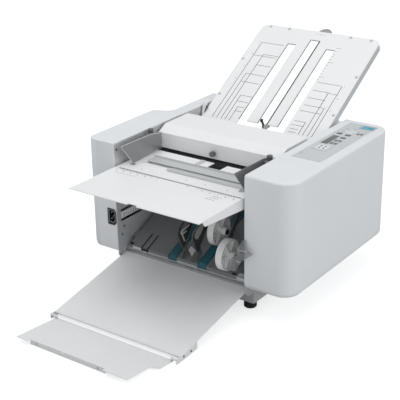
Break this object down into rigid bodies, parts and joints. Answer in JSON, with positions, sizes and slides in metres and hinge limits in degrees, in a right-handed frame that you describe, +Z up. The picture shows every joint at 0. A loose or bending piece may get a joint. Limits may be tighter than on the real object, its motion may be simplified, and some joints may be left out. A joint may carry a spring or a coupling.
{
  "type": "paper folding machine",
  "caption": "Desktop paper folding machine: sloping feed table, folding rollers under a hood, fold plate with wings, stacker wheels over a belt conveyor, hinged delivery tray.",
  "frame": {"origin": "on the floor plane, in the middle between the four feet, which is under the middle of the paper path and half way between the covers' front and rear faces", "axes": "+X to the right as seen from the delivery side, +Y to the back towards the feed table, +Z up; paper travels along -Y"},
  "size_m": [0.549, 0.9949, 0.4864],
  "materials": {
    "cover_white": "fine matt grain",
    "sheet_white": "satin powder coat",
    "tray_white": "satin powder coat",
    "frame_grey": "satin",
    "frame_zinc": "zinc plated",
    "deck_dark": "satin black",
    "bright_steel": "ground",
    "polished_leaf": "polished",
    "chrome_knob": "bright",
    "gear_steel": "machined",
    "aluminium_rail": "satin",
    "motor_paint": "semi gloss",
    "roller_rubber": "matt ground rubber",
    "belt_black": "matt",
    "belt_teal": "matt",
    "black_rubber": "matt",
    "black_plastic": "fine grain",
    "knob_grey": "satin",
    "wheel_white": "satin",
    "clear_plastic": "clear",
    "panel_grey": "film",
    "display_glass": "clear over dark",
    "key_blue": "satin",
    "key_dark": "satin",
    "key_grey": "satin",
    "key_white": "satin",
    "board_green": "solder mask"
  },
  "bodies": {
    "chassis": {"base_pan": "frame_zinc", "left_frame": "frame_grey", "right_frame": "frame_grey", "tie_bars": "bright_steel", "left_cover": "cover_white", "right_cover": "cover_white", "rear_cover": "cover_white", "control_panel": "panel_grey", "display_window": "display_glass", "power_inlet": "black_plastic", "feet": "black_rubber", "table_support": "frame_grey", "separator_pad": "black_plastic", "drive_motor": "motor_paint", "drive_belts": "belt_black", "fold_plate": "sheet_white", "wing_left": "frame_zinc", "wing_right": "frame_zinc", "cross_rail": "aluminium_rail", "lower_fold_plate": "frame_zinc", "conveyor_deck": "deck_dark", "conveyor_belts": "belt_teal", "power_supply": "frame_zinc", "circuit_board": "board_green", "screws": "bright_steel", "thumb_screws": "chrome_knob"},
    "hood": {"hood": "sheet_white"},
    "hood_screw": {"hood_thumb_screw": "chrome_knob"},
    "feed_table": {"feed_table": "sheet_white"},
    "skew_knob": {"skew_knob": "knob_grey"},
    "sheet_lever": {"sheet_lever": "black_plastic"},
    "feed_roller": {"feed_roller": "roller_rubber"},
    "motor_pulley": {"motor_pulley": "aluminium_rail"},
    "conveyor_front": {"conveyor_front_shaft": "bright_steel"},
    "conveyor_rear": {"conveyor_rear_shaft": "bright_steel"},
    "inner_arm": {"stacker_arm_inner": "bright_steel", "leaf_plates": "polished_leaf"},
    "inner_wheel": {"stacker_wheel_inner": "wheel_white"},
    "outer_arm": {"stacker_arm_outer": "bright_steel", "clear_guide": "clear_plastic"},
    "outer_wheel": {"stacker_wheel_outer": "wheel_white"},
    "fold_stop": {"fold_stop": "aluminium_rail"},
    "delivery_tray": {"delivery_tray": "tray_white"},
    "tray_extension": {"tray_extension": "tray_white"},
    "roller_1": {"fold_roller_1": "roller_rubber", "fold_gear_1": "gear_steel"},
    "roller_2": {"fold_roller_2": "roller_rubber", "fold_gear_2": "gear_steel"},
    "roller_3": {"fold_roller_3": "roller_rubber", "fold_gear_3": "gear_steel"},
    "roller_4": {"fold_roller_4": "roller_rubber", "fold_gear_4": "gear_steel"},
    "start_key": {"start_key": "key_blue"},
    "stop_key": {"stop_key": "key_dark"},
    "clear_key": {"clear_key": "key_dark"},
    "function_key_1": {"function_key_1": "key_dark"},
    "function_key_2": {"function_key_2": "key_dark"},
    "function_key_3": {"function_key_3": "key_dark"},
    "step_pad": {"step_pad": "key_grey"},
    "arrow_pad": {"arrow_pad": "key_white"}
  },
  "joints": [
    {"name": "hood_lift", "type": "hinge", "parent": "chassis", "child": "hood", "pos_m": [0, 0.045, 0.321], "axis": [-1, 0, 0], "range_deg": [0, 65]},
    {"name": "hood_screw_turn", "type": "hinge", "parent": "hood", "child": "hood_screw", "pos_m": [-0.008, -0.066, 0.295], "axis": [0, -1, 0], "continuous": true},
    {"name": "table_skew", "type": "hinge", "parent": "chassis", "child": "feed_table", "pos_m": [0, 0.08992, 0.29399], "axis": [0, -0.5195, 0.8545], "range_deg": [-1.5, 1.5]},
    {"name": "skew_dial_turn", "type": "hinge", "parent": "feed_table", "child": "skew_knob", "pos_m": [0.01, 0.40058, 0.47118], "axis": [0, -0.5195, 0.8545], "range_deg": [-90, 90]},
    {"name": "sheet_lever_press", "type": "hinge", "parent": "chassis", "child": "sheet_lever", "pos_m": [0, 0.13118, 0.30504], "axis": [1, 0, 0], "range_deg": [0, 25], "stiffness_Nm_per_rad": 0.01, "springref_deg": -17.19},
    {"name": "fold_roller_1_turn", "type": "hinge", "parent": "chassis", "child": "roller_1", "pos_m": [0, -0.006, 0.2972], "axis": [1, 0, 0], "continuous": true},
    {"name": "fold_roller_2_turn", "type": "hinge", "parent": "chassis", "child": "roller_2", "pos_m": [0, -0.006, 0.2608], "axis": [1, 0, 0], "continuous": true},
    {"name": "fold_roller_3_turn", "type": "hinge", "parent": "chassis", "child": "roller_3", "pos_m": [0, -0.0424, 0.2608], "axis": [1, 0, 0], "continuous": true},
    {"name": "fold_roller_4_turn", "type": "hinge", "parent": "chassis", "child": "roller_4", "pos_m": [0, -0.0424, 0.2244], "axis": [1, 0, 0], "continuous": true},
    {"name": "feed_roller_turn", "type": "hinge", "parent": "chassis", "child": "feed_roller", "pos_m": [0, 0.07237, 0.25933], "axis": [1, 0, 0], "continuous": true},
    {"name": "motor_turn", "type": "hinge", "parent": "chassis", "child": "motor_pulley", "pos_m": [0, 0.149, 0.165], "axis": [1, 0, 0], "continuous": true},
    {"name": "conveyor_front_turn", "type": "hinge", "parent": "chassis", "child": "conveyor_front", "pos_m": [0, -0.17862, 0.07072], "axis": [1, 0, 0], "continuous": true},
    {"name": "conveyor_rear_turn", "type": "hinge", "parent": "chassis", "child": "conveyor_rear", "pos_m": [0, -0.0257, 0.13785], "axis": [1, 0, 0], "continuous": true},
    {"name": "inner_arm_lift", "type": "hinge", "parent": "chassis", "child": "inner_arm", "pos_m": [0, -0.091, 0.232], "axis": [-1, 0, 0], "range_deg": [0, 20]},
    {"name": "inner_wheel_turn", "type": "hinge", "parent": "inner_arm", "child": "inner_wheel", "pos_m": [0.0485, -0.13129, 0.14305], "axis": [1, 0, 0], "continuous": true},
    {"name": "outer_arm_lift", "type": "hinge", "parent": "chassis", "child": "outer_arm", "pos_m": [0, -0.091, 0.232], "axis": [-1, 0, 0], "range_deg": [0, 20]},
    {"name": "outer_wheel_turn", "type": "hinge", "parent": "outer_arm", "child": "outer_wheel", "pos_m": [0.107, -0.18425, 0.11838], "axis": [1, 0, 0], "continuous": true},
    {"name": "fold_stop_slide", "type": "slide", "parent": "chassis", "child": "fold_stop", "axis": [0, -1, 0], "range_m": [0, 0.06]},
    {"name": "tray_lift", "type": "hinge", "parent": "chassis", "child": "delivery_tray", "pos_m": [0, -0.192, 0.059], "axis": [-1, 0, 0], "range_deg": [0, 45]},
    {"name": "extension_fold", "type": "hinge", "parent": "delivery_tray", "child": "tray_extension", "pos_m": [0, -0.45696, 0.0084], "axis": [-1, 0, 0], "range_deg": [0, 150]},
    {"name": "start_key_press", "type": "slide", "parent": "chassis", "child": "start_key", "axis": [0, 0, -1], "range_m": [0, 0.001], "stiffness_N_per_m": 300, "springref_m": -0.001},
    {"name": "stop_key_press", "type": "slide", "parent": "chassis", "child": "stop_key", "axis": [0, 0, -1], "range_m": [0, 0.001], "stiffness_N_per_m": 300, "springref_m": -0.001},
    {"name": "clear_key_press", "type": "slide", "parent": "chassis", "child": "clear_key", "axis": [0, 0, -1], "range_m": [0, 0.001], "stiffness_N_per_m": 300, "springref_m": -0.001},
    {"name": "function_key_1_press", "type": "slide", "parent": "chassis", "child": "function_key_1", "axis": [0, 0, -1], "range_m": [0, 0.001], "stiffness_N_per_m": 300, "springref_m": -0.001},
    {"name": "function_key_2_press", "type": "slide", "parent": "chassis", "child": "function_key_2", "axis": [0, 0, -1], "range_m": [0, 0.001], "stiffness_N_per_m": 300, "springref_m": -0.001},
    {"name": "function_key_3_press", "type": "slide", "parent": "chassis", "child": "function_key_3", "axis": [0, 0, -1], "range_m": [0, 0.001], "stiffness_N_per_m": 300, "springref_m": -0.001},
    {"name": "step_pad_press", "type": "slide", "parent": "chassis", "child": "step_pad", "axis": [0, 0, -1], "range_m": [0, 0.001], "stiffness_N_per_m": 300, "springref_m": -0.001},
    {"name": "arrow_pad_press", "type": "slide", "parent": "chassis", "child": "arrow_pad", "axis": [0, 0, -1], "range_m": [0, 0.001], "stiffness_N_per_m": 300, "springref_m": -0.001}
  ],
  "couplings": [
    {"joint": "skew_dial_turn", "follows": "table_skew", "ratio": 60},
    {"joint": "fold_roller_1_turn", "follows": "fold_roller_2_turn", "ratio": -1},
    {"joint": "fold_roller_3_turn", "follows": "fold_roller_2_turn", "ratio": -1},
    {"joint": "fold_roller_4_turn", "follows": "fold_roller_2_turn", "ratio": 1},
    {"joint": "feed_roller_turn", "follows": "fold_roller_2_turn", "ratio": 1},
    {"joint": "motor_turn", "follows": "fold_roller_2_turn", "ratio": 3},
    {"joint": "conveyor_front_turn", "follows": "fold_roller_2_turn", "ratio": 1},
    {"joint": "conveyor_rear_turn", "follows": "fold_roller_2_turn", "ratio": 1},
    {"joint": "inner_wheel_turn", "follows": "fold_roller_2_turn", "ratio": -0.3028}
  ]
}
